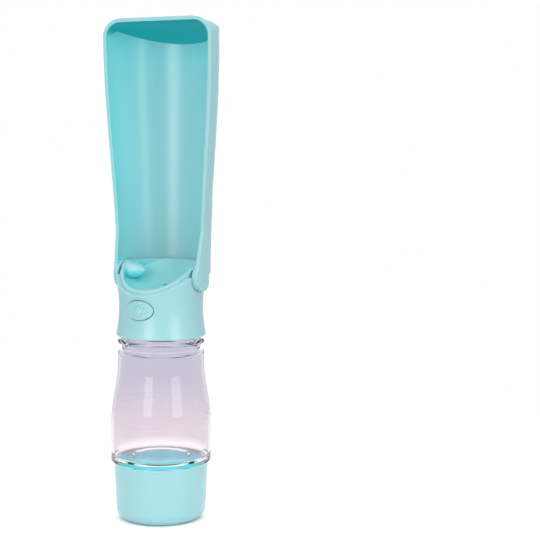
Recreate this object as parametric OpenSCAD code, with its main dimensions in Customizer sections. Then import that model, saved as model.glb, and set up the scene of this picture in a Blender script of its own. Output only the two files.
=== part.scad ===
// Dog travel water bottle: a food cup, a clear bottle and a dispensing head with a fold-over drinking trough.
// Millimetres. The origin is the centre of the food cup's base. +Z is up, -Y is the button side.

/* [Food cup] */
// Height of the food cup, base to rim
cup_h = 43.6; // [34:0.2:56]
// Outer radius of the cup at its rim
cup_rim_r = 35.9; // [34:0.1:40]
// Outer radius of the cup just above its rounded foot
cup_low_r = 34; // [28:0.1:38]
// Radius of the rounded foot
cup_foot_r = 8.5; // [4:0.5:12]
// Wall of the cup
cup_wall = 1.8; // [1.2:0.1:3]

/* [Bottle] */
// Height of the clear bottle from its foot to its shoulder
bottle_h = 87; // [70:1:110]
// Outer radius of the bottle's wide lower part
bottle_r = 38.1; // [36:0.1:44]
// Outer radius of the bottle's slim upper part
bottle_slim_r = 32.5; // [31:0.1:38]
// Wall of the bottle
bottle_wall = 2; // [1.4:0.1:3]
// Thickness of the bottle's floor
floor_t = 2.2; // [1.5:0.1:4]
// Outer radius of the threaded neck
neck_r = 27; // [24:0.1:28]
// Height of the threaded neck above its collar
neck_h = 8.8; // [8.8:0.2:9.2]
// Depth of the locking skirt that enters the cup
skirt_h = 7.5; // [6:0.5:12]

/* [Head] */
// Height of the head shell, lower edge to ledge
head_h = 45.6; // [42:0.2:56]
// Outer radius of the head at its waist
head_waist_r = 31.6; // [31:0.1:36]
// Radius of the hollow curve down the head's side
head_curve_r = 98; // [70:1:160]
// Wall of the head shell
head_wall = 2; // [1.6:0.1:2.4]
// Height of the hinge axis below the ledge
hinge_drop = 0.3; // [0.3:0.1:1.5]
// Thickness of the deck that carries the valve
deck_t = 2.2; // [1.6:0.1:3]

/* [Basin] */
// Inner radius of the basin
basin_r = 28.4; // [26:0.1:28.8]
// Height of the rim above the ledge
rim_h = 9.8; // [7:0.2:14]
// Radius of the dished floor
dish_r = 50; // [40:1:70]
// Depth of the dish below the hinge axis
dish_depth = 12.6; // [9:0.2:13]
// Height of the lip's plane above the hinge axis, at the axis
lip_rise = 10.5; // [8:0.1:12]
// Slope of the lip, rise over run
lip_slope = 0.676; // [0.5:0.01:0.8]

/* [Trough] */
// How far the folded trough reaches past the food cup's base
trough_reach = 6.1; // [5:0.1:20]
// Outer radius of the trough at the hinge
trough_root_r = 37.4; // [36.5:0.1:42]
// Room between the bottle and the folded trough's wide end
trough_room = 5.7; // [4:0.1:12]
// Wall of the trough
trough_wall = 2.5; // [1.8:0.1:3]
// Radius of the corners of the end
trough_corner_r = 15; // [8:0.5:22]
// Radius of the arch of the end wall
trough_cap_r = 48; // [44:1:60]
// Forward lean of the trough when open
trough_lean = 1.8; // [0:0.1:3]
// Radius of the hinge ears
ear_r = 10; // [8:0.1:11]
// Radius of the hinge pins
pin_r = 3; // [2:0.1:3.6]

/* [Button and valve] */
// Width of the oval button
button_w = 22.2; // [18:0.2:28]
// Height of the oval button
button_h = 14.2; // [12:0.1:15]
// Travel of the button
button_travel = 3; // [2:0.1:3.5]
// Radius of the outlet
outlet_r = 2.3; // [1.5:0.1:2.6]
// Radius of the stem's sealing land
land_r = 3.5; // [2.8:0.1:3.6]
// Wire radius of the return spring
wire_r = 0.35; // [0.2:0.05:0.45]
// Turns of the return spring
spring_turns = 5; // [3:1:6]

/* [Hidden] */
$fn = 96;

// Colours
mint = [0.68, 0.88, 0.89];
clear_plastic = [0.86, 0.84, 0.9, 0.4];
silicone = [0.78, 0.84, 0.86];
white_plastic = [0.93, 0.94, 0.94];
steel = [0.72, 0.73, 0.75];

// Clearances: between turning pieces, round a pin, round a sealing ring, and between fitted pieces
gap = 0.4;
run_gap = 0.05;
ring_gap = 0.03;
face_gap = 0.3;
over = 1;

// Food cup and its twist lock
cup_in_r = cup_rim_r - cup_wall;
lug_n = 3;
lug_angle = 50;
skirt_r = cup_in_r - 1.6;
skirt_wall = 1.6;
cup_taper = (cup_rim_r - cup_low_r)/(cup_h - cup_foot_r);
lug_r = cup_in_r - cup_taper*(skirt_h + gap) - face_gap;
cup_lug_r = skirt_r + gap;
bottle_z = cup_h + gap;
gasket_h = 1.8;
cup_lug_top = bottle_z - gasket_h - face_gap;
cup_lug_t = 2;
bottle_lug_top = cup_lug_top - cup_lug_t - gap;
bottle_lug_t = 2.2;

// Bottle
foot_edge_r = 2.1;
swell_z0 = bottle_z + 30;
swell_z1 = bottle_z + bottle_h - 11;
shoulder_z = bottle_z + bottle_h;
shoulder_edge_r = 3;
throat_r = bottle_slim_r - shoulder_edge_r + 0.3;
collar_z = shoulder_z + 4;
collar_t = 3.4;
collar_r = bottle_slim_r + 0.1;
neck_z = collar_z + collar_t;
neck_top = neck_z + neck_h;
neck_in_r = neck_r - bottle_wall;
window_r = 21;
window_sink = 1.2;
thread_h = 0.9;
thread_t = 1.4;
thread_pitch = 4;
thread_z = neck_z + 1.3;

// Head
head_z = neck_z + 2.1;
ledge_z = head_z + head_h;
hinge_z = ledge_z - hinge_drop;
waist_z = head_z + 0.48*head_h;
head_edge = 1;
deck_skirt_in_r = neck_r + thread_h + gap;
deck_skirt_r = deck_skirt_in_r + 1.2;
neck_gasket_t = 1.6;
deck_z = neck_top + face_gap + neck_gasket_t;
deck_top = deck_z + deck_t;
deck_r = head_at(deck_top) - head_wall - run_gap;
bore_r = basin_r + 2;
bore_z = hinge_z - 14.4;
bore_step = 0.7;

// Basin
seat_r = bore_r - 0.1;
recess_r = basin_r + 1;
seal_t = 0.6;
band_r = recess_r + 2.6;
band_z = ledge_z + 5.3;
rim_z = ledge_z + rim_h;
dish_y = -14;
dish_z = hinge_z - dish_depth + dish_r;
dish_t = 2;
lip_step = 2.1;
tab_angle = 42;
tab_drop = 3.6;
tab_inset = 0.15;
seal_angle = 144;

// Hinge
pad_r = 5.4;
pad_x = seat_r + 1.1;
washer_t = 0.7;
washer_r = 5.2;
pocket_x = pad_x + 0.5;
pocket_r = ear_r + gap + 0.1;
ear_x = pad_x + washer_t + 0.2;
dome_r = 6.9;
dome_rise = 2.7;
dome_left_x = 14;
dome_right_x = 21.7;
pin_left_x = 24;
pin_right_x = 26.4;
pin_play = 0.4;
pin_cover = 1.6;

// Valve, along the button's axis
stem_z = hinge_z - 23.5;
body_r = 7.5;
body_y0 = -16;
body_y1 = 26;
guide_r = land_r + 0.08;
guide_y1 = -6;
chamber_r = 4.6;
seat_y = 11;
seat_t = 1.5;
seat_hole_r = 3.4;
inlet_chamber_r = 5.6;
outlet_y = 8;
inlet_y = 18;
inlet_r = 2.6;
stopper_y = seat_y + seat_t + 0.2;
stopper_t = 2;
stopper_r = 4.7;
neck_rod_r = 1.8;
spigot_r = 1.4;
screw_core_r = 0.8;
screw_head_r = 2.1;
screw_head_t = 1.2;
spring_room = 3.6;
plug_y = stopper_y + stopper_t + screw_head_t + button_travel + spring_room;
plug_r = inlet_chamber_r - run_gap;
plug_flange_r = 7.2;
plug_flange_t = 1.6;
ring_wire_r = 0.75;
land_y0 = -14.5;
land_y1 = -7.2;
land_ring_y = -11;
riser_r = 3.8;
riser_bore_r = outlet_r - 0.1;
grommet_r = 4.9;
floor_y8 = dish_z - sqrt(pow(dish_r, 2) - pow(outlet_y - dish_y, 2));
socket_top = floor_y8 - dish_t;
socket_z = socket_top - 4;
riser_top = socket_top - 1.2;
screw_tab_z = deck_top + 3;
screw_tab_t = 2;
screw_tab_r = 3;
screw_spots = [[-11, -9], [11, -9], [-11, 20], [11, 20]];
body_screw_r = 1.1;

// Button
button_proud = 1;
button_r = head_waist_r + button_proud;
button_gap = 0.5;
flange_w = 1.8;
flange_r = head_waist_r - head_wall - face_gap;
button_in_r = flange_r - 1.7;
socket_r = 4.2;
stem_front_y = -29;
paw_h = 0.8;

// Spring
coil_r = 3.7;
spring_y0 = stopper_y + stopper_t + wire_r;
spring_y1 = plug_y - wire_r;
coil_steps = 14;
wire_sides = 6;

// Trough
trough_len = hinge_z + trough_reach;
trough_end_r = bottle_r + trough_room + trough_wall;
rim_y = -2.2;
cap_y = -20;
cap_ring_r = 27.7;
cap_rise = 0.7;
rim_end_t = 2.8;
root_z = 0.9;
side_slack = 0.3;
ear_blend_d = 34;
swell_d = trough_len - 18;

// Loop
loop_r = 6.6;
loop_bar = 2;
loop_w = 3;
loop_z = hinge_z - 5.8;

// Smooth step from 0 to 1
function ease(t) = let (u = min(max(t, 0), 1)) u*u*(3 - 2*u);
// Points of an arc
function arc(cx, cy, r, a0, a1, n) = [for (i = [0:n]) let (a = a0 + (a1 - a0)*i/n) [cx + r*cos(a), cy + r*sin(a)]];
// Outer radius of the bottle at a height, less an inset
function bottle_at(z, inset) =
    bottle_r - inset - (bottle_r - bottle_slim_r)*ease((z - swell_z0)/(swell_z1 - swell_z0));
// Outer radius of the head at a height
function head_at(z) = head_waist_r + head_curve_r - sqrt(pow(head_curve_r, 2) - pow(z - waist_z, 2));
// Outer radius of the trough at a distance from the hinge
function trough_at(d) = trough_root_r + (trough_end_r - trough_root_r)*ease(d/swell_d);

swell_steps = 14;
swell_zs = [for (i = [0:swell_steps]) swell_z0 + (swell_z1 - swell_z0)*i/swell_steps];
swell_ds = [for (i = [0:swell_steps]) swell_d*i/swell_steps];
head_steps = 12;
head_zs = [for (i = [0:head_steps]) head_z + head_edge + (head_h - head_edge)*i/head_steps];

// An oval about the origin, as points
function oval(w, h) = [for (i = [0:47]) [w/2*cos(7.5*i), h/2*sin(7.5*i)]];

module tube(r0, r1, z0, z1) {
    translate([0, 0, z0])
        difference() {
            cylinder(r = r1, h = z1 - z0);
            translate([0, 0, -over]) cylinder(r = r0, h = z1 - z0 + 2*over);
        }
}

// A rod along +Y from y0 to y1 at the valve's height
module rod(r, y0, y1) {
    translate([0, y0, stem_z]) rotate([-90, 0, 0]) cylinder(r = r, h = y1 - y0);
}

// A rod along X from x0 to x1 on the hinge axis
module hinge_rod(r, x0, x1) {
    translate([x0, 0, hinge_z]) rotate([0, 90, 0]) cylinder(r = r, h = x1 - x0);
}

// A ring of round section about the valve's axis
module o_ring(r0, r1, y) {
    translate([0, y, stem_z])
        rotate([-90, 0, 0])
            rotate_extrude()
                translate([(r0 + r1)/2, 0]) circle(r = (r1 - r0)/2, $fn = 24);
}

module lugs(r0, r1, z0, z1, turn) {
    for (i = [0:lug_n - 1])
        rotate([0, 0, turn + 360/lug_n*i - lug_angle/2])
            rotate_extrude(angle = lug_angle)
                translate([r0, z0]) square([r1 - r0, z1 - z0]);
}

module food_cup() {
    color(mint)
        union() {
            rotate_extrude()
                polygon(concat(
                    [[0, 0]],
                    arc(cup_low_r - cup_foot_r, cup_foot_r, cup_foot_r, -90, 0, 10),
                    [[cup_rim_r, cup_h - 0.6], [cup_rim_r - 0.6, cup_h], [cup_in_r, cup_h]],
                    [[cup_low_r - cup_wall, cup_foot_r]],
                    arc(cup_low_r - cup_foot_r, cup_foot_r, cup_foot_r - cup_wall, 0, -90, 10),
                    [[0, cup_wall]]
                ));
            lugs(cup_lug_r, cup_in_r + 0.5, cup_lug_top - cup_lug_t, cup_lug_top, 0);
        }
}

module cup_gasket() {
    color(silicone) tube(skirt_r + ring_gap, lug_r, bottle_z - gasket_h, bottle_z - ring_gap);
}

module bottle_shell() {
    floor_z = bottle_z + 2;
    in_foot_r = foot_edge_r + 0.9;
    color(clear_plastic)
        union() {
            rotate_extrude()
                polygon(concat(
                    [[0, floor_z - window_sink], [window_r, floor_z - window_sink], [window_r + 1, floor_z]],
                    [[skirt_r - skirt_wall, floor_z], [skirt_r - skirt_wall, bottle_z - skirt_h]],
                    [[skirt_r, bottle_z - skirt_h], [skirt_r, bottle_z]],
                    arc(bottle_r - foot_edge_r, bottle_z + foot_edge_r, foot_edge_r, -90, 0, 6),
                    [for (z = swell_zs) [bottle_at(z, 0), z]],
                    arc(bottle_slim_r - shoulder_edge_r, shoulder_z - shoulder_edge_r, shoulder_edge_r, 0, 80, 6),
                    [[throat_r, shoulder_z], [throat_r, collar_z], [collar_r - 0.5, collar_z]],
                    [[collar_r, collar_z + 0.5], [collar_r, neck_z - 0.5], [collar_r - 0.5, neck_z]],
                    [[neck_r, neck_z], [neck_r, neck_top - 0.4], [neck_r - 0.4, neck_top]],
                    [[neck_in_r, neck_top], [neck_in_r, neck_z], [throat_r - bottle_wall, collar_z]],
                    [[throat_r - bottle_wall, shoulder_z - 1], [bottle_slim_r - bottle_wall, shoulder_z - 4]],
                    [for (i = [swell_steps:-1:0]) [bottle_at(swell_zs[i], bottle_wall), swell_zs[i]]],
                    arc(bottle_r - bottle_wall - in_foot_r, floor_z + floor_t + in_foot_r, in_foot_r, 0, -90, 6),
                    [[window_r + 1, floor_z + floor_t], [window_r, floor_z + floor_t - window_sink]],
                    [[0, floor_z + floor_t - window_sink]]
                ));
            lugs(skirt_r - 0.5, lug_r, bottle_lug_top - bottle_lug_t, bottle_lug_top, 0);
            for (i = [0, 1])
                tube(neck_r - 0.5, neck_r + thread_h, thread_z + thread_pitch*i,
                     thread_z + thread_pitch*i + thread_t);
        }
}

// What is taken off above the front lip, down to a slanted plane
module scoop(rise) {
    rotate([90, 0, 90])
        translate([0, 0, -60])
            linear_extrude(height = 120)
                polygon([
                    [-60, hinge_z + rise - 60*lip_slope], [20, hinge_z + rise + 20*lip_slope],
                    [-60, hinge_z + rise + 20*lip_slope]
                ]);
}

module lanyard_loop() {
    loop_y = head_at(loop_z) - 0.3;
    intersection() {
        translate([-loop_w/2, loop_y, loop_z])
            rotate([0, 90, 0])
                difference() {
                    cylinder(r = loop_r, h = loop_w);
                    translate([0, 0, -over]) cylinder(r = loop_r - loop_bar, h = loop_w + 2*over);
                }
        translate([-loop_w, loop_y - 1.6, loop_z - 2*loop_r]) cube([2*loop_w, 2*loop_r, 4*loop_r]);
    }
}

module head_shell() {
    pocket_sphere_r = 7;
    color(mint)
        difference() {
            union() {
                difference() {
                    rotate_extrude()
                        polygon(concat(
                            [[head_at(head_z) - head_edge - head_wall, head_z]],
                            [[head_at(head_z) - head_edge, head_z]],
                            [for (z = head_zs) [head_at(z), z]],
                            [[bore_r, ledge_z], [bore_r, bore_z], [bore_r - bore_step, bore_z]],
                            [for (i = [head_steps - 5:-1:0]) [head_at(head_zs[i]) - head_wall, head_zs[i]]]
                        ));
                    translate([0, head_at(loop_z) + pocket_sphere_r - 1.7, loop_z]) sphere(r = pocket_sphere_r);
                }
                lanyard_loop();
            }
            scoop(lip_rise - lip_step);
            for (side = [0, 1])
                mirror([side, 0, 0]) {
                    hinge_rod(pocket_r, pocket_x, 50);
                    hinge_rod(pad_r + face_gap, 20, 50);
                    translate([20, -pad_r - face_gap, hinge_z]) cube([30, 2*(pad_r + face_gap), 20]);
                }
            translate([0, -20, stem_z])
                rotate([90, 0, 0])
                    linear_extrude(height = 20) polygon(oval(button_w + 2*button_gap, button_h + 2*button_gap));
        }
}

// A rounded housing on the hinge axis, from the wall to its tip
module dome(tip_x, wall_x) {
    translate([wall_x, 0, hinge_z + dome_rise])
        rotate([0, -90, 0])
            rotate_extrude()
                polygon(concat(
                    [[0, 0]],
                    [for (i = [0:12]) let (t = sin(7.5*i)) [dome_r*pow(1 - t*t, 0.5), (wall_x - tip_x)*t]]
                ));
}

module basin() {
    color(mint)
        difference() {
            union() {
                difference() {
                    union() {
                        translate([0, 0, bore_z]) cylinder(r = seat_r, h = ledge_z - bore_z);
                        translate([0, 0, ledge_z - over]) cylinder(r = recess_r, h = rim_z - ledge_z + over);
                        tube(recess_r - over, band_r, band_z, rim_z);
                        difference() {
                            tube(recess_r - over, pad_x - face_gap, ledge_z, band_z + over);
                            rotate([0, 0, 90 - seal_angle/2 - 1])
                                rotate_extrude(angle = seal_angle + 2)
                                    translate([recess_r, ledge_z - over]) square([10, band_z - ledge_z + over]);
                        }
                        rotate([0, 0, 90 - tab_angle/2])
                            rotate_extrude(angle = tab_angle)
                                translate([recess_r + seal_t, band_z - tab_drop])
                                    square([band_r - recess_r - seal_t - tab_inset, tab_drop + over]);
                    }
                    scoop(lip_rise);
                    intersection() {
                        translate([0, dish_y, dish_z]) sphere(r = dish_r, $fn = 144);
                        translate([0, 0, bore_z - over]) cylinder(r = basin_r, h = 60);
                    }
                    difference() {
                        translate([0, 0, bore_z - over]) cylinder(r = seat_r - 1.6, h = ledge_z - bore_z + over);
                        translate([0, dish_y, dish_z]) sphere(r = dish_r + dish_t, $fn = 144);
                    }
                }
                intersection() {
                    union() {
                        dome(dome_right_x, band_r);
                        mirror([1, 0, 0]) dome(dome_left_x, band_r);
                    }
                    translate([0, 0, bore_z]) cylinder(r = seat_r, h = 60);
                    translate([0, dish_y, dish_z]) sphere(r = dish_r + dish_t/2, $fn = 144);
                }
                for (side = [0, 1]) mirror([side, 0, 0]) hinge_rod(pad_r, basin_r, pad_x);
                difference() {
                    translate([0, outlet_y, socket_z]) cylinder(r = grommet_r + 1.4, h = socket_top - socket_z + over);
                    translate([0, dish_y, dish_z]) sphere(r = dish_r + dish_t/2, $fn = 144);
                }
            }
            hinge_rod(pin_r + run_gap, pin_right_x, 50);
            mirror([1, 0, 0]) hinge_rod(pin_r + run_gap, pin_left_x, 50);
            translate([0, outlet_y, socket_z - over]) cylinder(r = grommet_r, h = socket_top - socket_z + over);
            translate([0, outlet_y, socket_z]) cylinder(r = outlet_r, h = 20);
        }
}

module basin_seal() {
    color(silicone)
        rotate([0, 0, 90 - seal_angle/2])
            rotate_extrude(angle = seal_angle)
                translate([recess_r + ring_gap, ledge_z + ring_gap])
                    square([seal_t - 2*ring_gap, band_z - ledge_z - 2*ring_gap]);
}

module valve_deck() {
    color(white_plastic)
        difference() {
            union() {
                tube(deck_skirt_in_r, deck_skirt_r, head_z + 0.7, deck_z);
                translate([0, 0, deck_z]) cylinder(r = deck_r, h = deck_t);
                for (i = [0, 1])
                    tube(neck_r + gap, deck_skirt_in_r + 0.5, thread_z + thread_pitch*(i + 0.5),
                         thread_z + thread_pitch*(i + 0.5) + thread_t);
                for (spot = screw_spots)
                    translate([spot[0], spot[1], deck_top - over])
                        cylinder(r = screw_tab_r, h = screw_tab_z - deck_top + over);
            }
            translate([0, inlet_y, deck_z - over]) cylinder(r = inlet_r, h = deck_t + 2*over);
            for (spot = screw_spots)
                translate([spot[0], spot[1], deck_z + 1]) cylinder(r = body_screw_r, h = 10);
        }
}

module neck_gasket() {
    color(silicone) tube(neck_in_r - 0.3, neck_r + 0.9, deck_z - neck_gasket_t, deck_z);
}

module valve_body() {
    color(white_plastic)
        difference() {
            union() {
                rod(body_r, body_y0, body_y1);
                translate([-body_r, body_y0, deck_top]) cube([2*body_r, body_y1 - body_y0, stem_z - deck_top]);
                translate([0, outlet_y, stem_z]) cylinder(r = riser_r, h = riser_top - stem_z);
                for (spot = screw_spots) {
                    translate([spot[0], spot[1], screw_tab_z]) cylinder(r = screw_tab_r, h = screw_tab_t);
                    translate([min(spot[0], 0), spot[1] - screw_tab_r, screw_tab_z])
                        cube([abs(spot[0]), 2*screw_tab_r, screw_tab_t]);
                }
            }
            rod(guide_r, body_y0 - over, guide_y1 + over);
            rod(chamber_r, guide_y1, seat_y);
            rod(seat_hole_r, seat_y - over, seat_y + seat_t + over);
            rod(inlet_chamber_r, seat_y + seat_t, body_y1 + over);
            translate([0, outlet_y, stem_z]) cylinder(r = riser_bore_r, h = riser_top - stem_z + over);
            translate([0, inlet_y, deck_top - over]) cylinder(r = inlet_r, h = stem_z - deck_top + over);
            for (spot = screw_spots)
                translate([spot[0], spot[1], screw_tab_z - over]) cylinder(r = body_screw_r, h = screw_tab_t + 2*over);
        }
}

module valve_screws() {
    head_t = 1.5;
    slot_w = 0.6;
    color(steel)
        for (spot = screw_spots)
            translate([spot[0], spot[1], 0])
                difference() {
                    union() {
                        translate([0, 0, deck_z + 1.2])
                            cylinder(r = body_screw_r - ring_gap, h = screw_tab_z + screw_tab_t - deck_z - 1.2);
                        translate([0, 0, screw_tab_z + screw_tab_t]) cylinder(r = screw_head_r, h = head_t);
                    }
                    for (turn = [0, 90])
                        translate([0, 0, screw_tab_z + screw_tab_t + head_t])
                            rotate([0, 0, turn]) cube([3, slot_w, 1.4], center = true);
                }
}

module outlet_grommet() {
    color(silicone)
        translate([0, outlet_y, 0]) {
            tube(riser_r + ring_gap, grommet_r - ring_gap, socket_z + 0.3, riser_top + ring_gap);
            tube(outlet_r, grommet_r - ring_gap, riser_top + ring_gap, socket_top - ring_gap);
        }
}

// A sector of the button: an oval prism between two radii about the head's axis
module curved_oval(w, h, r0, r1) {
    intersection() {
        translate([0, -15, stem_z]) rotate([90, 0, 0]) linear_extrude(height = 30) polygon(oval(w, h));
        tube(r0, r1, stem_z - 20, stem_z + 20);
    }
}

module paw() {
    for (side = [-1, 1]) {
        translate([side*3.7, 2.6]) circle(r = 1, $fn = 24);
        translate([side*1.4, 4.6]) circle(r = 1.1, $fn = 24);
    }
    translate([0, -1]) circle(r = 2.8, $fn = 32);
    translate([0, 0.8]) circle(r = 2.1, $fn = 32);
}

module button_cap() {
    color(mint)
        difference() {
            union() {
                curved_oval(button_w, button_h, button_in_r, button_r);
                curved_oval(button_w + 2*flange_w, button_h + 2*flange_w, button_in_r, flange_r);
                intersection() {
                    translate([0, -15, stem_z]) rotate([90, 0, 0]) linear_extrude(height = 30) paw();
                    tube(button_r - 0.5, button_r + paw_h, stem_z - 10, stem_z + 10);
                }
                rod(socket_r, stem_front_y - 0.5, stem_front_y + 5);
            }
            rod(2.4, stem_front_y, stem_front_y + 10);
        }
}

module valve_stem() {
    color(white_plastic)
        difference() {
            union() {
                rod(2.4, stem_front_y, land_y0);
                rod(land_r, land_y0, land_y1);
                rod(neck_rod_r, land_y1, stopper_y);
                rod(spigot_r, stopper_y, stopper_y + stopper_t);
            }
            difference() {
                rod(land_r + over, land_ring_y - ring_wire_r, land_ring_y + ring_wire_r);
                rod(guide_r - 2*ring_wire_r, land_ring_y - 2, land_ring_y + 2);
            }
            rod(screw_core_r, stopper_y - 5, stopper_y + stopper_t + over);
        }
}

module stem_o_ring() {
    color([0.2, 0.2, 0.22]) o_ring(guide_r - 2*ring_wire_r, guide_r - ring_gap, land_ring_y);
}

module valve_stopper() {
    color(silicone)
        difference() {
            rod(stopper_r, stopper_y, stopper_y + stopper_t);
            rod(spigot_r, stopper_y - over, stopper_y + stopper_t + over);
        }
}

module stopper_screw() {
    color(steel)
        difference() {
            union() {
                rod(screw_core_r - ring_gap, stopper_y - 4.5, stopper_y + stopper_t);
                rod(screw_head_r, stopper_y + stopper_t, stopper_y + stopper_t + screw_head_t);
            }
            translate([0, stopper_y + stopper_t + screw_head_t, stem_z]) cube([3, 1, 0.6], center = true);
        }
}

// The spring is one wire of six sides along a helix, with its ends cut square to the wire
module return_spring() {
    steps = spring_turns*coil_steps;
    rise = (spring_y1 - spring_y0)/steps;
    points = [
        for (i = [0:steps], k = [0:wire_sides - 1])
            let (a = 360*i/coil_steps, b = 360*k/wire_sides, r = coil_r + wire_r*cos(b))
                [r*cos(a), spring_y0 + rise*i + wire_r*sin(b), stem_z + r*sin(a)]
    ];
    sides = [
        for (i = [0:steps - 1], k = [0:wire_sides - 1])
            let (a = i*wire_sides + k, b = i*wire_sides + (k + 1)%wire_sides)
                each [[a, a + wire_sides, b + wire_sides], [a, b + wire_sides, b]]
    ];
    last = steps*wire_sides;
    ends = [
        for (k = [1:wire_sides - 2]) each [[0, k, k + 1], [last, last + k + 1, last + k]]
    ];
    least_gap = (spring_y1 - spring_y0)/spring_turns - 2*wire_r;
    echo(str("return spring: least gap between its turns ", least_gap, " mm"));
    color(steel) polyhedron(points = points, faces = concat(sides, ends), convexity = 6);
}

module spring_plug() {
    color(white_plastic)
        difference() {
            union() {
                rod(plug_r, plug_y, body_y1);
                rod(plug_flange_r, body_y1, body_y1 + plug_flange_t);
            }
            difference() {
                rod(plug_r + over, body_y1 - 2 - ring_wire_r, body_y1 - 2 + ring_wire_r);
                rod(inlet_chamber_r - 2*ring_wire_r, plug_y, body_y1);
            }
            translate([0, body_y1 + plug_flange_t, stem_z]) cube([8, 1.6, 1.6], center = true);
        }
}

module plug_o_ring() {
    color([0.2, 0.2, 0.22]) o_ring(inlet_chamber_r - 2*ring_wire_r, inlet_chamber_r - ring_gap, body_y1 - 2);
}

module hinge_pin_left() {
    color(steel) hinge_rod(pin_r, -trough_root_r + pin_cover, -pin_left_x - pin_play);
}

module hinge_pin_right() {
    color(steel) hinge_rod(pin_r, pin_right_x + pin_play, trough_root_r - pin_cover);
}

module hinge_washer(side) {
    x0 = side > 0 ? pad_x : -pad_x - washer_t;
    color([0.2, 0.2, 0.22])
        difference() {
            hinge_rod(washer_r, x0, x0 + washer_t);
            hinge_rod(pin_r + 0.15, x0 - over, x0 + washer_t + over);
        }
}

module hinge_washer_left() {
    hinge_washer(-1);
}

module hinge_washer_right() {
    hinge_washer(1);
}

// The trough's swelling body of revolution, grown or shrunk by an inset
module trough_round(inset, d0) {
    rotate_extrude($fn = 128)
        polygon(concat(
            [[0, d0], [trough_root_r - inset, d0]],
            [for (d = swell_ds) [trough_at(d) - inset, d]],
            [[trough_end_r - inset, trough_len + 5], [0, trough_len + 5]]
        ));
}

// What lies under the arched end wall, a surface turned about an axis ahead of the rim
module trough_under_cap(inset) {
    cap_r = trough_cap_r + trough_wall - inset;
    centre_d = trough_len + cap_rise - trough_cap_r - trough_wall;
    translate([0, cap_y, 0])
        rotate_extrude($fn = 180)
            polygon(concat(
                [[0, -30], [0, centre_d + cap_r]],
                arc(cap_ring_r, centre_d, cap_r, 90, 0, 21),
                [[cap_ring_r + cap_r, -30]]
            ));
}

// The outline of the trough from the front, with round end corners
module trough_front(half_w, len, corner, d0) {
    translate([0, 60, 0])
        rotate([90, 0, 0])
            linear_extrude(height = 140)
                polygon(concat(
                    [[-half_w, d0], [half_w, d0]],
                    arc(half_w - corner, len - corner, corner, 0, 90, 16),
                    arc(-half_w + corner, len - corner, corner, 90, 180, 16)
                ));
}

// The outline from the side: the straight rim, drawn out to the front of the ear
module trough_side() {
    tangent = asin((ear_r + rim_y)/norm([ear_r + rim_y, ear_blend_d]));
    blend_r = ear_r - 0.4;
    rotate([90, 0, 90])
        translate([0, 0, -60])
            linear_extrude(height = 120)
                polygon([
                    [rim_y, trough_len + 5], [60, trough_len + 5], [60, root_z + 1], [ear_r*cos(10), root_z + 1],
                    [0, 0], [-blend_r*cos(tangent), blend_r*sin(tangent)], [rim_y, ear_blend_d]
                ]);
}

module trough() {
    color(mint)
        difference() {
            union() {
                translate([0, 0, hinge_z])
                    rotate([trough_lean, 0, 0])
                        difference() {
                            intersection() {
                                trough_round(0, -20);
                                trough_under_cap(0);
                                trough_front(trough_end_r + side_slack, trough_len, trough_corner_r, -20);
                                trough_side();
                            }
                            intersection() {
                                trough_round(trough_wall, -20);
                                trough_under_cap(trough_wall);
                                trough_front(trough_end_r - trough_wall + side_slack, trough_len - rim_end_t,
                                             trough_corner_r - trough_wall, -20);
                            }
                        }
                translate([0, 0, hinge_z])
                    rotate([trough_lean, 0, 0])
                        intersection() {
                            trough_round(0, -20);
                            union() {
                                for (side = [0, 1])
                                    mirror([side, 0, 0])
                                        translate([ear_x, 0, 0]) rotate([0, 90, 0]) cylinder(r = ear_r, h = 10);
                            }
                        }
            }
            translate([-60, ear_r*0.9, hinge_z - 20]) cube([120, 60, 20 + root_z + hinge_drop]);
            for (side = [0, 1])
                mirror([side, 0, 0]) hinge_rod(pin_r, ear_x - over, trough_root_r - pin_cover);
        }
}

food_cup();
cup_gasket();
bottle_shell();
head_shell();
basin();
basin_seal();
valve_deck();
neck_gasket();
valve_body();
valve_screws();
outlet_grommet();
button_cap();
valve_stem();
stem_o_ring();
valve_stopper();
stopper_screw();
return_spring();
spring_plug();
plug_o_ring();
hinge_pin_left();
hinge_pin_right();
hinge_washer_left();
hinge_washer_right();
trough();
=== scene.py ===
"""Materials, spring wire, studio light and camera for the dog travel water bottle."""

import math

import bpy
from mathutils import Matrix, Vector


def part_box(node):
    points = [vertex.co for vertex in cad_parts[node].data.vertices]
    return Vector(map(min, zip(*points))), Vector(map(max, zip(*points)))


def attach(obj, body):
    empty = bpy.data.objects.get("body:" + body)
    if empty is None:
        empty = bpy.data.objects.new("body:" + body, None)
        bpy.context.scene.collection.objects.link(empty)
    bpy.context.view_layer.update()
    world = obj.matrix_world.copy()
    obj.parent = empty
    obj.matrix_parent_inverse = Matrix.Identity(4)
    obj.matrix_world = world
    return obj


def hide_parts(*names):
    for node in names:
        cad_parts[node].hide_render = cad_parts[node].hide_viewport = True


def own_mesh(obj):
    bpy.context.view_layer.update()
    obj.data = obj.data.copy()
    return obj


bl_info = {
    "name": "Dog Travel Bottle",
    "version": (1, 0, 0),
    "blender": (4, 5, 0),
    "location": "3D View > Sidebar > Bottle",
    "description": "Finishes the dog travel bottle: plastics, rubber, steel, spring wire and studio",
    "category": "Object",
}

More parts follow.
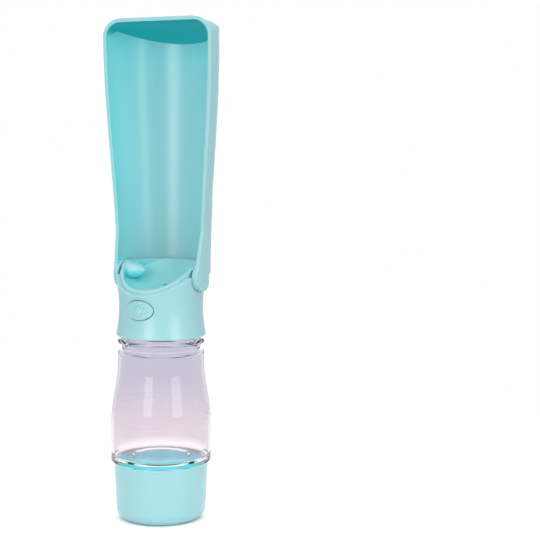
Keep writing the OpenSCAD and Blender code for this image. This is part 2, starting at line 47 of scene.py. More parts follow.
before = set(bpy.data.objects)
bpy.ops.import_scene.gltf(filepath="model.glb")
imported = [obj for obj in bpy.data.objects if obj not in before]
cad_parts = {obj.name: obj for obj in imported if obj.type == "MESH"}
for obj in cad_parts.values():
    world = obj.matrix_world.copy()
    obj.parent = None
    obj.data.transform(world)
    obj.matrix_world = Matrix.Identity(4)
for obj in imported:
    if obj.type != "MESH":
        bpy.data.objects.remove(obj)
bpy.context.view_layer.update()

MINT_NODES = ("head_shell", "button_cap")
WHITE_NODES = ("valve_deck", "valve_body", "valve_stem", "spring_plug")
SILICONE_NODES = ("cup_gasket", "basin_seal", "neck_gasket", "outlet_grommet", "valve_stopper")
RUBBER_NODES = ("stem_o_ring", "plug_o_ring", "hinge_washer_left", "hinge_washer_right")
STEEL_NODES = ("valve_screws", "stopper_screw", "hinge_pin_left", "hinge_pin_right")

# Sockets of a colour Mix node and a Math node, by number because their names repeat.
FACTOR, COLOUR_A, COLOUR_B, MIXED = 0, 6, 7, 2
SECOND = 1

BLACK = (0, 0, 0, 1)
GREY = (0.5, 0.5, 0.5, 1)
PALE_GREY = (0.8, 0.8, 0.8, 1)
WHITE = (1, 1, 1, 1)

# Heights in metres far above the bottle: with them, no closed end gets painted shade.
NO_CLOSED_END = (10.0, 11.0)
# How far below the trough's top the painted shade of its closed end starts, and is full.
TROUGH_END_DEPTHS = (0.034, 0.020)

# Moulded surface. A pair says where an effect starts and where it is full.
# The edge colour is a painted highlight, the cavity colour painted bounce light and the closed
# colour painted shade.
SURFACE_INPUTS = {
    "Colour": GREY, "Edge Colour": PALE_GREY, "Edge Strength": 0.5,
    "Cavity Colour": GREY, "Cavity Strength": 0.0, "Cavity Start": 0.7,
    "Closed Colour": GREY, "Closed Start": NO_CLOSED_END[0], "Closed End": NO_CLOSED_END[1],
    "Flow Strength": 0.06, "Roughness": 0.35, "Grain Depth": 0.05, "Grain Scale": 1500.0,
}
SURFACE_OUTPUTS = {
    "Colour": "NodeSocketColor", "Roughness": "NodeSocketFloat", "Normal": "NodeSocketVector",
    "Cavity": "NodeSocketFloat",
}
FLOW_STRETCH = (1, 1, 0.35)
FLOW_SCALE = 38
FLOW_DETAIL = 3
FLOW_ROUGHNESS = 0.03
GRAIN_DETAIL = 2
GRAIN_HEIGHT = 0.0002
EDGE_RADIUS = 0.0005
EDGE_COSINE = (0.995, 0.80)
CAVITY_REACH = 0.25
CAVITY_FULL = 0.40
DOWNWARD_SLOPE = (-0.10, -0.55)
INSIDE_SKY = (0.95, 0.75)

# Share of open sky below which the mint plastic gets painted bounce light in a deeper colour.
MINT_CAVITY_START = 0.72
BASIN_CAVITY_START = 0.97

# Light that goes through the clear wall unbent, to what is inside or behind.
CLEAR_WALL = (0.96, 0.95, 0.97, 1)

# Painted highlight colours for the edges of the silicone, rubber, valve plastic and steel.
SILICONE_EDGE_HIGHLIGHT = (0.62, 0.76, 0.80)
RUBBER_EDGE_HIGHLIGHT = (0.06, 0.06, 0.065)
VALVE_EDGE_HIGHLIGHT = (0.92, 0.92, 0.92)
STEEL_EDGE_HIGHLIGHT = (0.8, 0.8, 0.82)

SPIRAL_STEPS = 32
WIRE_SIDES = 14

FLOOR_RADIUS = 0.8
FLOOR_CORNERS = 64
FLOOR_FADE = (0.12, 0.6)
FLOOR_ROUGHNESS = 0.75
MOTTLE_SCALE = 3
MOTTLE_SHADE = 0.985

SIDE_LIGHT_DISTANCE = 1.1
SIDE_LIGHT_HEIGHT = 0.55
SENSOR_WIDTH = 36
# A height on the bottle's axis, which the camera keeps straight above the foot.
AXIS_MARK = 0.35


def set_inputs(node, values):
    """Gives a node's unlinked inputs their values."""
    for socket, value in values.items():
        node.inputs[socket].default_value = value


def add_node(tree, kind, x, y, inputs=None, **settings):
    """A node of one kind at a place in its tree, with its settings and inputs."""
    node = tree.nodes.new(kind)
    node.location = (x, y)
    for key, value in settings.items():
        setattr(node, key, value)
    set_inputs(node, inputs or {})
    return node


def fade(tree, x, y, start=0, full=1, low=0, high=1):
    """A Map Range node that goes from low at start to high at full."""
    ranges = {"From Min": start, "From Max": full, "To Min": low, "To Max": high}
    return add_node(tree, "ShaderNodeMapRange", x, y, ranges)


def times(tree, x, y):
    """A Math node that multiplies."""
    return add_node(tree, "ShaderNodeMath", x, y, operation="MULTIPLY")


def either(tree, x, y):
    """A Math node that is on when one of its inputs is."""
    return add_node(tree, "ShaderNodeMath", x, y, operation="MAXIMUM")


def mix_colours(tree, x, y, a=GREY, b=GREY):
    """A Mix node between two colours."""
    colours = {COLOUR_A: (*a[:3], 1), COLOUR_B: (*b[:3], 1)}
    return add_node(tree, "ShaderNodeMix", x, y, colours, data_type="RGBA")


def join(tree, *links):
    """Links nodes: each link is a node, its output, another node and its input."""
    for source, out, target, inp in links:
        tree.links.new(source.outputs[out], target.inputs[inp])


def new_material(name):
    """An empty node material with its output and a Principled BSDF joined up."""
    material = bpy.data.materials.new(name)
    material.use_nodes = True
    tree = material.node_tree
    tree.nodes.clear()
    output = add_node(tree, "ShaderNodeOutputMaterial", 400, 0)
    surface = add_node(tree, "ShaderNodeBsdfPrincipled", 0, 0)
    join(tree, (surface, "BSDF", output, "Surface"))
    return material, tree, surface


def give_finish(names, material):
    """Each named CAD node shows this material."""
    for name in names:
        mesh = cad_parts[name].data
        mesh.materials.clear()
        mesh.materials.append(material)


def moulded_surface_group():
    """Moulded surface, which puts out a colour, a roughness, a normal and a mask of its hollows.

    It has faint flow marks, fine grain, rounded edges with a painted highlight, painted bounce
    light in a deeper colour in its hollows, and painted shade inside a closed end.
    """
    name = "moulded surface"
    if name in bpy.data.node_groups:
        return bpy.data.node_groups[name]
    tree = bpy.data.node_groups.new(name, "ShaderNodeTree")
    for label, value in SURFACE_INPUTS.items():
        kind = "NodeSocketColor" if isinstance(value, tuple) else "NodeSocketFloat"
        socket = tree.interface.new_socket(name=label, in_out="INPUT", socket_type=kind)
        socket.default_value = value
    for label, kind in SURFACE_OUTPUTS.items():
        tree.interface.new_socket(name=label, in_out="OUTPUT", socket_type=kind)
    start = add_node(tree, "NodeGroupInput", -900, 0)
    end = add_node(tree, "NodeGroupOutput", 900, 0)
    place = add_node(tree, "ShaderNodeTexCoord", -900, -300)

    # Flow marks, in the colour and in the roughness.
    stretch = add_node(tree, "ShaderNodeMapping", -700, -300, {"Scale": FLOW_STRETCH})
    flow = add_node(
        tree, "ShaderNodeTexNoise", -500, -200, {"Scale": FLOW_SCALE, "Detail": FLOW_DETAIL})
    flow_range = fade(tree, -300, -100, low=-1)
    flow_swing = times(tree, -100, -100)
    flow_value = add_node(tree, "ShaderNodeMath", 60, -100, {SECOND: 1}, operation="ADD")
    tint = add_node(tree, "ShaderNodeHueSaturation", 250, 100)
    rough_swing = add_node(
        tree, "ShaderNodeMath", 100, -300, {SECOND: FLOW_ROUGHNESS}, operation="MULTIPLY_ADD")
    join(
        tree,
        (place, "Object", stretch, "Vector"), (stretch, "Vector", flow, "Vector"),
        (flow, "Fac", flow_range, "Value"), (flow_range, "Result", flow_swing, 0),
        (start, "Flow Strength", flow_swing, 1), (flow_swing, "Value", flow_value, 0),
        (start, "Colour", tint, "Color"), (flow_value, "Value", tint, "Value"),
        (flow_range, "Result", rough_swing, 0), (start, "Roughness", rough_swing, 2),
        (rough_swing, "Value", end, "Roughness"))

    # Edges, where the rounded normal turns away from the real one, get a painted highlight.
    round_edge = add_node(tree, "ShaderNodeBevel", -500, -700, {"Radius": EDGE_RADIUS}, samples=4)
    real = add_node(tree, "ShaderNodeNewGeometry", -500, -900)
    same = add_node(tree, "ShaderNodeVectorMath", -300, -800, operation="DOT_PRODUCT")
    edge = fade(tree, -100, -800, *EDGE_COSINE)
    edge_amount = times(tree, 100, -700)
    join(
        tree,
        (round_edge, "Normal", same, 0), (real, "Normal", same, 1), (same, "Value", edge, "Value"),
        (edge, "Result", edge_amount, 0), (start, "Edge Strength", edge_amount, 1))

    # Grain, on the rounded normal.
    grain = add_node(tree, "ShaderNodeTexNoise", -500, -450, {"Detail": GRAIN_DETAIL})
    bump = add_node(tree, "ShaderNodeBump", 500, -500, {"Distance": GRAIN_HEIGHT})
    join(
        tree,
        (place, "Object", grain, "Vector"), (start, "Grain Scale", grain, "Scale"),
        (grain, "Fac", bump, "Height"), (start, "Grain Depth", bump, "Strength"),
        (round_edge, "Normal", bump, "Normal"), (bump, "Normal", end, "Normal"))

    # Hollows, which see little open sky, get painted bounce light in a deeper colour.
    open_sky = add_node(
        tree, "ShaderNodeAmbientOcclusion", -500, 300, {"Distance": CAVITY_REACH},
        samples=8, only_local=True)
    cavity = fade(tree, -300, 300, full=CAVITY_FULL)
    cavity_amount = times(tree, -100, 300)
    join(
        tree,
        (open_sky, "AO", cavity, "Value"), (start, "Cavity Start", cavity, "From Min"),
        (cavity, "Result", cavity_amount, 0), (start, "Cavity Strength", cavity_amount, 1),
        (cavity_amount, "Value", end, "Cavity"))

    # Painted shade in a closed end: faces that look down, between two heights, inside a hollow.
    height = add_node(tree, "ShaderNodeSeparateXYZ", -500, 700)
    closed = fade(tree, -300, 700)
    slope = add_node(tree, "ShaderNodeSeparateXYZ", -500, 900)
    faces_down = fade(tree, -300, 900, *DOWNWARD_SLOPE)
    closed_down = times(tree, -100, 800)
    inside = fade(tree, -300, 500, *INSIDE_SKY)
    closed_amount = times(tree, -100, 600)
    join(
        tree,
        (place, "Object", height, "Vector"), (height, "Z", closed, "Value"),
        (start, "Closed Start", closed, "From Min"), (start, "Closed End", closed, "From Max"),
        (place, "Normal", slope, "Vector"), (slope, "Z", faces_down, "Value"),
        (faces_down, "Result", closed_down, 0), (closed, "Result", closed_down, 1),
        (open_sky, "AO", inside, "Value"), (closed_down, "Value", closed_amount, 0),
        (inside, "Result", closed_amount, 1))

    # The hollows' painted bounce light lies over the tint, then the closed end's painted shade, then
    # the edges' painted highlight.
    paint_bounce_light = mix_colours(tree, 450, 200)
    paint_closed_shade = mix_colours(tree, 580, 300)
    light_up = mix_colours(tree, 700, 100)
    join(
        tree,
        (tint, "Color", paint_bounce_light, COLOUR_A), (start, "Cavity Colour", paint_bounce_light, COLOUR_B),
        (cavity_amount, "Value", paint_bounce_light, FACTOR), (paint_bounce_light, MIXED, paint_closed_shade, COLOUR_A),
        (start, "Closed Colour", paint_closed_shade, COLOUR_B), (closed_amount, "Value", paint_closed_shade, FACTOR),
        (paint_closed_shade, MIXED, light_up, COLOUR_A), (start, "Edge Colour", light_up, COLOUR_B),
        (edge_amount, "Value", light_up, FACTOR), (light_up, MIXED, end, "Colour"))
    return tree


def moulded_material(name, **values):
    """A material whose colour, roughness and normal come from the moulded surface group.

    Each value is one of the group's inputs, such as edge_strength for "Edge Strength".
    """
    material, tree, surface = new_material(name)
    group = add_node(tree, "ShaderNodeGroup", -400, 0, node_tree=moulded_surface_group())
    for key, value in values.items():
        socket = group.inputs[key.replace("_", " ").title()]
        socket.default_value = (*value, 1) if socket.type == "RGBA" else value
    join(
        tree,
        (group, "Colour", surface, "Base Color"), (group, "Roughness", surface, "Roughness"),
        (group, "Normal", surface, "Normal"))
    return material, surface, group


def steel_material(context):
    """Bright drawn steel with fine turning marks."""
    name = "bright steel"
    if name in bpy.data.materials:
        return bpy.data.materials[name]
    material, surface, _ = moulded_material(
        name, colour=context.scene.bottle_small.steel, edge_colour=STEEL_EDGE_HIGHLIGHT, edge_strength=0.4,
        roughness=0.24, flow_strength=0.08, grain_depth=0.1, grain_scale=5200)
    set_inputs(surface, {"Metallic": 1})
    return material


def colour_setting(name, description, default):
    """A colour that a user can change."""
    return bpy.props.FloatVectorProperty(
        name=name, description=description, subtype="COLOR", size=3, min=0, max=1, default=default)


def share_setting(name, description, default):
    """A strength or a roughness from 0 to 1."""
    return bpy.props.FloatProperty(
        name=name, description=description, min=0, max=1, default=default)


def length_setting(name, description, default, lowest=0):
    """A length in metres."""
    return bpy.props.FloatProperty(
        name=name, description=description, unit="LENGTH", min=lowest, default=default)


def angle_setting(name, description, degrees):
    """An angle, given in degrees and kept in radians."""
    return bpy.props.FloatProperty(
        name=name, description=description, subtype="ANGLE", default=math.radians(degrees))


def power_setting(name, description, default):
    """A lamp's power."""
    return bpy.props.FloatProperty(
        name=name, description=description, unit="POWER", default=default)


class MintPlasticSettings(bpy.types.PropertyGroup):
    """Looks of the mint plastic"""

    colour: colour_setting("Colour", "Body colour of the mint plastic", (0.245, 0.470, 0.500))
    # The edge colour is a painted highlight along the edges of the mouldings.
    edge_colour: colour_setting(
        "Edge highlight colour", "Colour where a thin edge lets light through", (0.52, 0.84, 0.88))
    # The cavity colour is painted bounce light in the hollows of the mouldings.
    cavity_colour: colour_setting(
        "Cavity bounce light", "Deeper colour inside the mouldings, where light bounces about",
        (0.04, 0.82, 0.86))
    # How strong the painted bounce light in the hollows is.
    cavity: share_setting("Cavity strength", "How much the insides deepen", 0.44)
    # The closed colour is painted shade inside the trough's closed end.
    closed_colour: colour_setting(
        "Closed shade colour", "Colour inside the closed end of the trough", (0.0, 0.36, 0.40))
    glow_colour: colour_setting(
        "Glow", "Light that comes through the cup's wall to its inside", (0.0, 0.50, 0.51))
    roughness: share_setting("Roughness", "Roughness of the satin skin", 0.29)
    softness: share_setting(
        "Softness", "How much light the plastic lets in under its skin", 0.15)


class ClearPlasticSettings(bpy.types.PropertyGroup):
    """Looks of the clear bottle"""

    tint: colour_setting("Tint", "Tint of the upper part of the bottle", (0.76, 0.745, 0.83))
    low_tint: colour_setting(
        "Low tint", "Tint of the lower part of the bottle", (0.785, 0.725, 0.76))
    foot_tint: colour_setting(
        "Foot tint", "Tint of the floor and the foot, where many walls lie behind each other",
        (0.99, 0.975, 0.99))
    foot_low: length_setting(
        "Foot from", "Height where the foot's tint starts to change", 0.0485)
    foot_high: length_setting("Foot to", "Height where the foot's tint ends", 0.0550)
    # The edge tint is a painted highlight along the bottle's edges.
    edge_highlight_tint: colour_setting("Edge highlight tint", "Tint along the bottle's edges", (0.95, 0.94, 0.98))
    blend_low: length_setting("Blend from", "Height where the lower tint starts to change", 0.060)
    blend_high: length_setting("Blend to", "Height where the upper tint is reached", 0.125)
    roughness: share_setting(
        "Frost", "Roughness that blurs what is seen through the wall", 0.02)
    ior: bpy.props.FloatProperty(
        name="Refraction", description="How much the wall bends and reflects light", min=1, max=2,
        default=1.24)


class SmallPartSettings(bpy.types.PropertyGroup):
    """Colours of the seals, the valve's parts and the steel"""

    silicone: colour_setting(
        "Silicone", "Colour of the gaskets and of the seal under the basin's rim",
        (0.45, 0.60, 0.64))
    white: colour_setting(
        "Valve plastic", "Colour of the valve's plastic parts", (0.80, 0.81, 0.81))
    rubber: colour_setting(
        "Rubber", "Colour of the sealing rings and washers", (0.02, 0.02, 0.022))
    steel: colour_setting("Steel", "Colour of the pins, screws and spring", (0.60, 0.61, 0.63))


class SpringSettings(bpy.types.PropertyGroup):
    """Sizes of the return spring"""

    wire: length_setting("Wire radius", "Radius of the spring's wire", 0.00035, lowest=0.0001)
    turns: bpy.props.FloatProperty(
        name="Turns", description="Turns of the return spring", min=1, max=12, default=5)


class StageSettings(bpy.types.PropertyGroup):
    """Camera, floor and lights"""

    azimuth: angle_setting("Azimuth", "How far round to the right the camera stands", 31)
    distance: length_setting("Distance", "From the bottle's axis to the camera", 0.980)
    eye_height: length_setting("Eye height", "Height of the camera", 0.284)
    lens: bpy.props.FloatProperty(
        name="Lens", description="Focal length in millimetres", min=20, max=200, default=86.6)
    tilt: angle_setting("Tilt", "How far the camera looks down", 5.48)
    pan: angle_setting("Pan", "How far the camera looks to the right of the bottle", 4.81)
    floor: colour_setting("Floor", "Colour of the floor", (0.97, 0.97, 0.972))
    world: bpy.props.FloatProperty(
        name="Surround", description="Light that comes from the white surround", min=0, max=5,
        default=0.68)
    top: power_setting("Top softbox", "Power of the wide softbox above", 13)
    back: power_setting("Back softbox", "Power of the softbox behind the bottle", 5.5)
    key: power_setting("Right softbox", "Power of the large softbox on the right", 6.2)
    fill: power_setting("Left softbox", "Power of the softbox on the left", 6.8)


class BOTTLE_OT_mint_mouldings(bpy.types.Operator):
    """Gives the trough, head, basin, cup and button their mint plastic"""

    bl_idname = "bottle.mint_mouldings"
    bl_label = "Mint mouldings"

    def execute(self, context):
        look = context.scene.bottle_mint
        # The trough's closed end gets painted shade between these heights below its top.
        end_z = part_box("trough")[1][2]
        trough_end = [end_z - depth for depth in TROUGH_END_DEPTHS]
        for name, nodes, cavity_start, closed, glows in (
            ("mint plastic", MINT_NODES, MINT_CAVITY_START, NO_CLOSED_END, False),
            ("mint plastic of the trough", ("trough",), MINT_CAVITY_START, trough_end, False),
            ("mint plastic of the basin", ("basin",), BASIN_CAVITY_START, NO_CLOSED_END, False),
            ("mint plastic of the cup", ("food_cup",), MINT_CAVITY_START, NO_CLOSED_END, True),
        ):
            material, surface, group = moulded_material(
                name, colour=look.colour, edge_colour=look.edge_colour, edge_strength=0.8,
                cavity_colour=look.cavity_colour, cavity_strength=look.cavity,
                cavity_start=cavity_start, closed_colour=look.closed_colour,
                closed_start=closed[0], closed_end=closed[1], flow_strength=0.02,
                roughness=look.roughness, grain_depth=0.02)
            set_inputs(surface, {
                "Subsurface Weight": look.softness, "Subsurface Radius": (0.4, 1.0, 1.0),
                "Subsurface Scale": 0.003, "IOR": 1.49,
            })
            if glows:
                self.light_inside(material.node_tree, surface, group, look.glow_colour)
            give_finish(nodes, material)
        return {"FINISHED"}

    def light_inside(self, tree, surface, group, colour):
        """A glow in the cup's hollow, because its wall lets light through."""
        glow = mix_colours(tree, -200, -300, BLACK, colour)
        join(tree, (group, "Cavity", glow, FACTOR), (glow, MIXED, surface, "Emission Color"))
        set_inputs(surface, {"Emission Strength": 1})


class BOTTLE_OT_clear_bottle(bpy.types.Operator):
    """Gives the bottle its clear, faintly lavender plastic"""

    bl_idname = "bottle.clear_bottle"
    bl_label = "Clear bottle"

    def execute(self, context):
        look = context.scene.bottle_clear
        # The bottle's edges get a painted highlight in the edge tint.
        material, surface, group = moulded_material(
            "clear plastic", colour=look.tint, edge_colour=look.edge_highlight_tint, edge_strength=0.4,
            roughness=look.roughness, flow_strength=0.02, grain_depth=0.02)
        set_inputs(surface, {"IOR": look.ior, "Transmission Weight": 1})
        self.tint_by_height(material.node_tree, group, look)
        self.let_light_through(material.node_tree, surface)
        give_finish(("bottle_shell",), material)
        return {"FINISHED"}

    def tint_by_height(self, tree, group, look):
        """The tint goes from the foot's to the lower one, and on to the upper one."""
        place = add_node(tree, "ShaderNodeTexCoord", -1300, 200)
        height = add_node(tree, "ShaderNodeSeparateXYZ", -1100, 200)
        rise = fade(tree, -900, 200, look.blend_low, look.blend_high)
        body = mix_colours(tree, -700, 200, look.low_tint, look.tint)
        foot = fade(tree, -900, -100, look.foot_low, look.foot_high)
        whole = mix_colours(tree, -550, 200, look.foot_tint)
        join(
            tree,
            (place, "Object", height, "Vector"), (height, "Z", rise, "Value"),
            (rise, "Result", body, FACTOR), (height, "Z", foot, "Value"),
            (foot, "Result", whole, FACTOR), (body, MIXED, whole, COLOUR_B),
            (whole, MIXED, group, "Colour"))

    def let_light_through(self, tree, surface):
        """Light reaches what is inside or behind the bottle, as through thin clear plastic."""
        seen = add_node(tree, "ShaderNodeLightPath", 200, 500)
        lit = either(tree, 400, 500)
        clear = add_node(tree, "ShaderNodeBsdfTransparent", 400, -200, {"Color": CLEAR_WALL})
        choice = add_node(tree, "ShaderNodeMixShader", 600, 100)
        output = next(n for n in tree.nodes if n.bl_idname == "ShaderNodeOutputMaterial")
        output.location = (800, 0)
        join(
            tree,
            (seen, "Is Shadow Ray", lit, 0), (seen, "Is Diffuse Ray", lit, 1),
            (lit, "Value", choice, 0), (surface, "BSDF", choice, 1), (clear, "BSDF", choice, 2),
            (choice, "Shader", output, "Surface"))


class BOTTLE_OT_seals(bpy.types.Operator):
    """Gives the gaskets, the seal, the stopper and the rings their silicone and rubber"""

    bl_idname = "bottle.seals"
    bl_label = "Seals and rings"

    def execute(self, context):
        look = context.scene.bottle_small
        silicone, surface, _ = moulded_material(
            "grey silicone", colour=look.silicone, edge_colour=SILICONE_EDGE_HIGHLIGHT, edge_strength=0.4,
            roughness=0.5, flow_strength=0.04, grain_depth=0.12, grain_scale=2400)
        set_inputs(surface, {"Sheen Weight": 0.1})
        give_finish(SILICONE_NODES, silicone)
        rubber, _, _ = moulded_material(
            "black rubber", colour=look.rubber, edge_colour=RUBBER_EDGE_HIGHLIGHT, edge_strength=0.5,
            roughness=0.55, flow_strength=0.1, grain_depth=0.15, grain_scale=2600)
        give_finish(RUBBER_NODES, rubber)
        return {"FINISHED"}


class BOTTLE_OT_valve_parts(bpy.types.Operator):
    """Gives the deck, the valve body, the stem and the spring plug their white plastic"""

    bl_idname = "bottle.valve_parts"
    bl_label = "Valve parts"

    def execute(self, context):
        look = context.scene.bottle_small
        material, _, _ = moulded_material(
            "valve plastic", colour=look.white, edge_colour=VALVE_EDGE_HIGHLIGHT, edge_strength=0.4,
            roughness=0.42, flow_strength=0.04, grain_depth=0.08)
        give_finish(WHITE_NODES, material)
        return {"FINISHED"}


class BOTTLE_OT_steel_parts(bpy.types.Operator):
    """Gives the pins and screws their bright steel"""

    bl_idname = "bottle.steel_parts"
    bl_label = "Steel parts"

    def execute(self, context):
        give_finish(STEEL_NODES, steel_material(context))
        return {"FINISHED"}


def spring_wire_tree():
    """Nodes that wind the spring: a spiral along Y of round wire with closed ends."""
    tree = bpy.data.node_groups.new("spring wire", "GeometryNodeTree")
    for label, direction, kind in (
        ("Geometry", "INPUT", "NodeSocketGeometry"), ("Wire Radius", "INPUT", "NodeSocketFloat"),
        ("Coil Radius", "INPUT", "NodeSocketFloat"), ("Turns", "INPUT", "NodeSocketFloat"),
        ("Length", "INPUT", "NodeSocketFloat"), ("Start", "INPUT", "NodeSocketVector"),
        ("Material", "INPUT", "NodeSocketMaterial"), ("Geometry", "OUTPUT", "NodeSocketGeometry"),
    ):
        tree.interface.new_socket(name=label, in_out=direction, socket_type=kind)
    start = add_node(tree, "NodeGroupInput", -900, 0)
    end = add_node(tree, "NodeGroupOutput", 900, 0)
    spiral = add_node(
        tree, "GeometryNodeCurveSpiral", -600, 0, {"Resolution": SPIRAL_STEPS, "Reverse": True})
    turn = add_node(
        tree, "GeometryNodeTransform", -350, 0, {"Rotation": (math.radians(-90), 0, 0)})
    wire = add_node(
        tree, "GeometryNodeCurvePrimitiveCircle", -350, -300, {"Resolution": WIRE_SIDES})
    skin = add_node(tree, "GeometryNodeCurveToMesh", -100, 0, {"Fill Caps": True})
    smooth = add_node(tree, "GeometryNodeSetShadeSmooth", 150, 0)
    real = add_node(tree, "GeometryNodeRealizeInstances", 400, 0)
    finish = add_node(tree, "GeometryNodeSetMaterial", 650, 0)
    join(
        tree,
        (start, "Turns", spiral, "Rotations"), (start, "Coil Radius", spiral, "Start Radius"),
        (start, "Coil Radius", spiral, "End Radius"), (start, "Length", spiral, "Height"),
        (spiral, "Curve", turn, "Geometry"), (start, "Start", turn, "Translation"),
        (start, "Wire Radius", wire, "Radius"), (turn, "Geometry", skin, "Curve"),
        (wire, "Curve", skin, "Profile Curve"), (skin, "Mesh", smooth, "Geometry"),
        (smooth, "Geometry", real, "Geometry"), (real, "Geometry", finish, "Geometry"),
        (start, "Material", finish, "Material"), (finish, "Geometry", end, "Geometry"))
    return tree


def made_by_nodes(name, tree, values):
    """The result of a geometry node tree as a plain mesh object at the origin."""
    source = name + " source"
    holder = bpy.data.objects.new(source, bpy.data.meshes.new(source))
    bpy.context.scene.collection.objects.link(holder)
    modifier = holder.modifiers.new("make", "NODES")
    modifier.node_group = tree
    for item in tree.interface.items_tree:
        if item.in_out == "INPUT" and item.name in values:
            modifier[item.identifier] = values[item.name]
    holder.update_tag()
    bpy.context.view_layer.update()
    depsgraph = bpy.context.evaluated_depsgraph_get()
    mesh = bpy.data.meshes.new_from_object(holder.evaluated_get(depsgraph), depsgraph=depsgraph)
    bpy.data.objects.remove(holder)
    mesh.name = name
    made = bpy.data.objects.new(name, mesh)
    bpy.context.scene.collection.objects.link(made)
    return made


class BOTTLE_OT_spring_wire(bpy.types.Operator):
    """Winds the return spring from round wire in place of the plain one"""

    bl_idname = "bottle.spring_wire"
    bl_label = "Spring wire"

    def execute(self, context):
        look = context.scene.bottle_spring
        low, high = (Vector(corner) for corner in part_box("return_spring"))
        centre = (low + high) / 2
        spring = made_by_nodes("spring_wire", spring_wire_tree(), {
            "Wire Radius": look.wire,
            "Coil Radius": (high.x - low.x) / 2 - look.wire,
            "Turns": look.turns,
            "Length": high.y - low.y - 2*look.wire,
            "Start": (centre.x, low.y + look.wire, centre.z),
            "Material": steel_material(context),
        })
        if not spring.data.polygons:
            raise RuntimeError("the spring's nodes made nothing")
        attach(spring, "head")
        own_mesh(spring)
        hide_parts("return_spring")
        return {"FINISHED"}


def place_round(angle, distance, height):
    """A place at a distance from the bottle's axis, turned to the right from the button's side."""
    return (distance*math.sin(angle), -distance*math.cos(angle), height)


def softbox(name, place, target, width, height, power):
    """A rectangular area light that looks at a point."""
    light = bpy.data.lights.new(name, "AREA")
    light.shape = "RECTANGLE"
    light.size, light.size_y, light.energy = width, height, power
    lamp = bpy.data.objects.new(name, light)
    lamp.location = place
    lamp.rotation_euler = (Vector(target) - Vector(place)).to_track_quat("-Z", "Y").to_euler()
    bpy.context.scene.collection.objects.link(lamp)
    return lamp


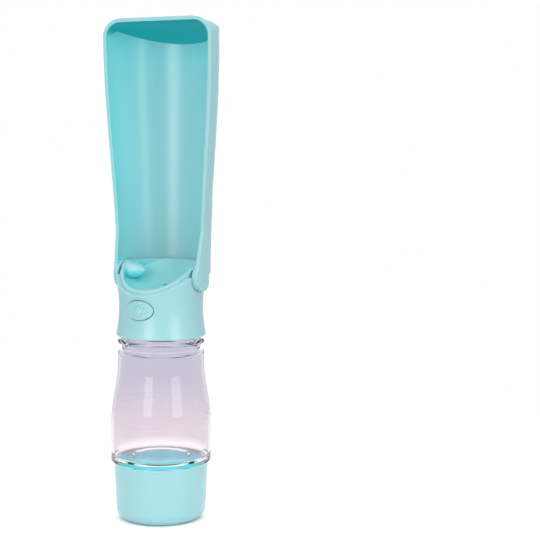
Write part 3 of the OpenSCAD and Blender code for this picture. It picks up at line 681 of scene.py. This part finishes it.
class BOTTLE_OT_stage(bpy.types.Operator):
    """Makes the pale floor, the studio light and the camera"""

    bl_idname = "bottle.stage"
    bl_label = "Stage"

    def execute(self, context):
        look = context.scene.bottle_stage
        context.scene.view_settings.view_transform = "Standard"
        self.lay_floor(look)
        self.make_surround(context, look)
        self.set_lights(look)
        self.set_camera(context, look)
        return {"FINISHED"}

    def lay_floor(self, look):
        """A round pale floor with a faint mottle, which melts into the white surround."""
        mesh = bpy.data.meshes.new("floor")
        angles = [math.tau*i/FLOOR_CORNERS for i in range(FLOOR_CORNERS)]
        ring = [(FLOOR_RADIUS*math.cos(a), FLOOR_RADIUS*math.sin(a), 0) for a in angles]
        mesh.from_pydata(ring, [], [tuple(range(FLOOR_CORNERS))])
        floor = bpy.data.objects.new("floor", mesh)
        bpy.context.scene.collection.objects.link(floor)
        material, tree, surface = new_material("pale floor")
        set_inputs(surface, {"Roughness": FLOOR_ROUGHNESS})
        place = add_node(tree, "ShaderNodeTexCoord", -800, 0)
        noise = add_node(tree, "ShaderNodeTexNoise", -600, 0, {"Scale": MOTTLE_SCALE})
        ramp = add_node(tree, "ShaderNodeValToRGB", -400, 0)
        ramp.color_ramp.elements[0].color = (*(c*MOTTLE_SHADE for c in look.floor), 1)
        ramp.color_ramp.elements[1].color = (*look.floor, 1)
        reach = add_node(tree, "ShaderNodeVectorMath", -600, -300, operation="LENGTH")
        thin = fade(tree, -400, -300, *FLOOR_FADE, low=1, high=0)
        join(
            tree,
            (place, "Object", noise, "Vector"), (noise, "Fac", ramp, "Fac"),
            (ramp, "Color", surface, "Base Color"), (place, "Object", reach, 0),
            (reach, "Value", thin, "Value"), (thin, "Result", surface, "Alpha"))
        mesh.materials.append(material)

    def make_surround(self, context, look):
        """A surround that looks white, also through the bottle, and gives softer light."""
        world = bpy.data.worlds.new("white surround")
        world.use_nodes = True
        tree = world.node_tree
        glow = tree.nodes["Background"]
        set_inputs(glow, {"Color": WHITE, "Strength": look.world})
        backdrop = add_node(tree, "ShaderNodeBackground", 0, -200, {"Color": WHITE})
        seen = add_node(tree, "ShaderNodeLightPath", 0, 300)
        choice = add_node(tree, "ShaderNodeMixShader", 250, 0)
        looked_at = either(tree, 120, 200)
        join(
            tree,
            (seen, "Is Camera Ray", looked_at, 0), (seen, "Is Transmission Ray", looked_at, 1),
            (looked_at, "Value", choice, 0), (glow, "Background", choice, 1),
            (backdrop, "Background", choice, 2),
            (choice, "Shader", tree.nodes["World Output"], "Surface"))
        context.scene.world = world

    def set_lights(self, look):
        """A wide softbox above, and three upright ones behind, to the right and to the left.

        The camera sees none of them, and the one behind doesn't show through the bottle either.
        """
        softbox(
            "softbox above", place=(0.1, -0.1, 1.7), target=(0, 0, 0), width=1.6, height=1.6,
            power=look.top)
        for name, swing, target_z, width, height, power, shows_through in (
            ("softbox behind", 180, 0.15, 0.9, 0.8, look.back, False),
            ("softbox right", 38, 0.2, 0.5, 0.9, look.key, True),
            ("softbox left", -32, 0.2, 0.45, 0.9, look.fill, True),
        ):
            angle = look.azimuth + math.radians(swing)
            place = place_round(angle, SIDE_LIGHT_DISTANCE, SIDE_LIGHT_HEIGHT)
            lamp = softbox(name, place, (0, 0, target_z), width, height, power)
            lamp.visible_camera = False
            lamp.visible_transmission = shows_through

    def set_camera(self, context, look):
        """The camera at the photograph's angle, with the bottle left of the middle and upright."""
        camera = bpy.data.objects.new("camera", bpy.data.cameras.new("camera"))
        camera.data.lens = look.lens
        camera.data.sensor_width = SENSOR_WIDTH
        bpy.context.scene.collection.objects.link(camera)
        camera.location = place_round(look.azimuth, look.distance, look.eye_height)
        heading = look.azimuth - look.pan
        level = math.cos(look.tilt)
        aim = Vector((-math.sin(heading)*level, math.cos(heading)*level, -math.sin(look.tilt)))
        turn = aim.to_track_quat("-Z", "Y").to_matrix()
        base, top = (
            turn.inverted() @ (Vector((0, 0, z)) - camera.location) for z in (0, AXIS_MARK))
        lean = math.atan2(top.x/-top.z - base.x/-base.z, top.y/-top.z - base.y/-base.z)
        camera.rotation_euler = (turn @ Matrix.Rotation(-lean, 3, "Z")).to_euler()
        context.scene.camera = camera


class BOTTLE_PT_panel(bpy.types.Panel):
    """Lists the finishes of the dog travel bottle"""

    bl_idname = "BOTTLE_PT_panel"
    bl_label = "Dog Travel Bottle"
    bl_space_type = "VIEW_3D"
    bl_region_type = "UI"
    bl_category = "Bottle"

    def draw(self, context):
        layout = self.layout
        for step in STEPS:
            layout.operator(step.bl_idname)
        for key, settings in SETTINGS.items():
            box = layout.box()
            for prop in settings.__annotations__:
                box.prop(getattr(context.scene, key), prop)


SETTINGS = {
    "bottle_mint": MintPlasticSettings,
    "bottle_clear": ClearPlasticSettings,
    "bottle_small": SmallPartSettings,
    "bottle_spring": SpringSettings,
    "bottle_stage": StageSettings,
}
# In the order that main runs them.
STEPS = (
    BOTTLE_OT_stage,
    BOTTLE_OT_mint_mouldings,
    BOTTLE_OT_clear_bottle,
    BOTTLE_OT_seals,
    BOTTLE_OT_valve_parts,
    BOTTLE_OT_steel_parts,
    BOTTLE_OT_spring_wire,
)


def register():
    for group in SETTINGS.values():
        bpy.utils.register_class(group)
    for step in STEPS:
        bpy.utils.register_class(step)
    bpy.utils.register_class(BOTTLE_PT_panel)
    for key, group in SETTINGS.items():
        setattr(bpy.types.Scene, key, bpy.props.PointerProperty(type=group))


def unregister():
    for key in SETTINGS:
        delattr(bpy.types.Scene, key)
    bpy.utils.unregister_class(BOTTLE_PT_panel)
    for step in reversed(STEPS):
        bpy.utils.unregister_class(step)
    for group in reversed(list(SETTINGS.values())):
        bpy.utils.unregister_class(group)


def main():
    """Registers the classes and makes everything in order."""
    register()
    for step in STEPS:
        area, name = step.bl_idname.split(".")
        getattr(getattr(bpy.ops, area), name)()


if __name__ == "__main__":
    main()
